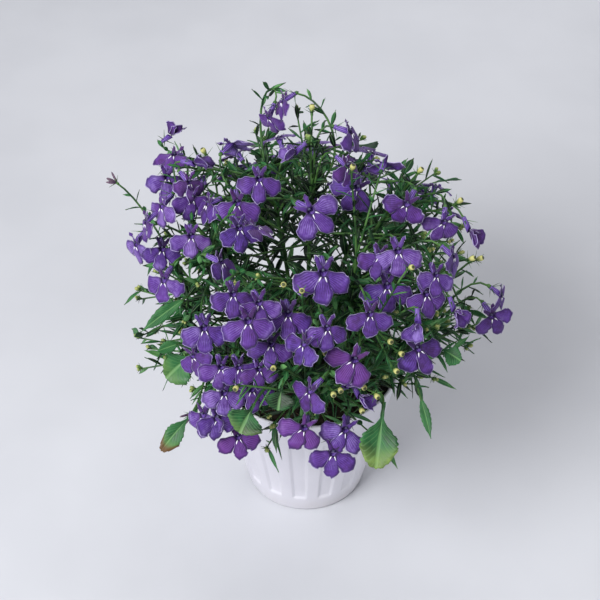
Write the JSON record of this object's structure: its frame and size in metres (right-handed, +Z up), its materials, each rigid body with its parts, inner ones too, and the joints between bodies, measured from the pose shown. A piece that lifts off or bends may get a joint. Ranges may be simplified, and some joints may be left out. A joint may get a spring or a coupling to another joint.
{
  "type": "potted emperor william lobelia",
  "caption": "Bushy bedding lobelia in bloom: violet flowers with a broad three-lobed lip on thin branching leafy stems, in a small white pot with upright panels.",
  "frame": {"origin": "middle of the pot's flat underside", "axes": "+Z up; -Y towards the front, the side the picture shows; +X to the right"},
  "size_m": [0.1505, 0.1692, 0.179],
  "materials": {
    "pot": "satin",
    "soil": "matte",
    "leaf": "satin",
    "bloom": "matte"
  },
  "bodies": {
    "root": {"pot": "pot", "soil": "soil", "stem_1": "leaf", "stem_2": "leaf", "stem_3": "leaf", "stem_4": "leaf", "stem_5": "leaf", "stem_6": "leaf", "stem_7": "leaf", "stem_8": "leaf", "stem_9": "leaf", "stem_10": "leaf", "stem_11": "leaf", "stem_12": "leaf", "bloom_top_left": "bloom", "bloom_top_back": "bloom", "bloom_top_right": "bloom", "bloom_far_right_top": "bloom", "bloom_upper_right": "bloom", "bloom_left_top": "bloom", "bloom_left_upper": "bloom", "bloom_left_outer": "bloom", "bloom_left_tip": "bloom", "bloom_left_middle": "bloom", "bloom_left_low": "bloom", "bloom_centre_upper": "bloom", "bloom_centre_left": "bloom", "bloom_centre_side": "bloom", "bloom_centre_top": "bloom", "bloom_centre": "bloom", "bloom_largest": "bloom", "bloom_right_upper": "bloom", "bloom_right_middle": "bloom", "bloom_right_top": "bloom", "bloom_right_outer": "bloom", "bloom_right_side": "bloom", "bloom_far_right": "bloom", "bloom_far_right_tip": "bloom", "bloom_right_low": "bloom", "bloom_middle_left": "bloom", "bloom_middle": "bloom", "bloom_middle_front": "bloom", "bloom_middle_low": "bloom", "bloom_middle_right": "bloom", "bloom_right_front": "bloom", "bloom_low_right": "bloom", "bloom_low_middle": "bloom", "bloom_low_dark": "bloom", "bloom_low_left": "bloom", "bloom_low_outer": "bloom", "bloom_over_left_rim": "bloom", "bloom_over_rim": "bloom", "bloom_over_pot": "bloom", "bloom_back_1": "bloom", "bloom_back_2": "bloom", "bloom_back_3": "bloom", "bloom_back_4": "bloom", "bloom_back_5": "bloom", "bloom_back_6": "bloom", "bloom_back_7": "bloom"}
  },
  "joints": []
}
